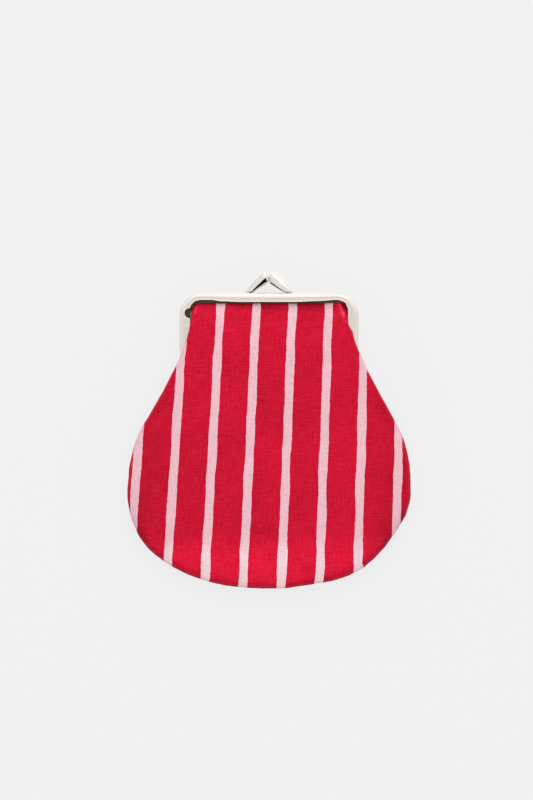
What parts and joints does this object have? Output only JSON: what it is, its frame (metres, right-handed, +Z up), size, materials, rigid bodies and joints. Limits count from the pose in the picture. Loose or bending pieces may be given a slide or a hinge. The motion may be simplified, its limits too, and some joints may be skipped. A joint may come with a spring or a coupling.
{
  "type": "kiss-lock coin purse",
  "caption": "Small round-bottomed cloth coin purse on a hinged metal frame that closes with two crossing claws.",
  "frame": {"origin": "centre of the purse's outline on the surface it lies on", "axes": "+X across the purse to the right, +Y from the round bottom to the clasp, +Z up out of the front of the purse"},
  "size_m": [0.1262, 0.1404, 0.0149],
  "materials": {
    "polished_steel": "polished nickel plate over stamped steel",
    "satin_steel": "plain plated rivet steel",
    "red_cloth": "red cotton with pink stripes across it",
    "lining_cloth": "plain cream cotton",
    "black_paper": "black twisted paper cord"
  },
  "bodies": {
    "rear_half": {"rear_frame": "polished_steel", "rear_claw": "polished_steel", "rear_claw_stud": "satin_steel", "left_hinge_rivet": "satin_steel", "right_hinge_rivet": "satin_steel", "rear_packing_cord": "black_paper", "rear_panel_flap": "red_cloth", "rear_panel_pouch": "red_cloth", "rear_lining": "lining_cloth", "front_panel_fold": "red_cloth", "front_panel_pouch": "red_cloth", "front_lining_fold": "lining_cloth", "front_lining_pouch": "lining_cloth"},
    "front_half": {"front_frame": "polished_steel", "front_claw": "polished_steel", "front_claw_stud": "satin_steel", "front_packing_cord": "black_paper", "front_panel_flap": "red_cloth", "front_lining_flap": "lining_cloth"}
  },
  "joints": [
    {"name": "frame_hinge", "type": "hinge", "parent": "rear_half", "child": "front_half", "pos_m": [0, 0.0189, 0.00685], "axis": [1, 0, 0], "range_deg": [0, 95], "deforming": ["front_panel_fold", "front_lining_fold"]}
  ]
}
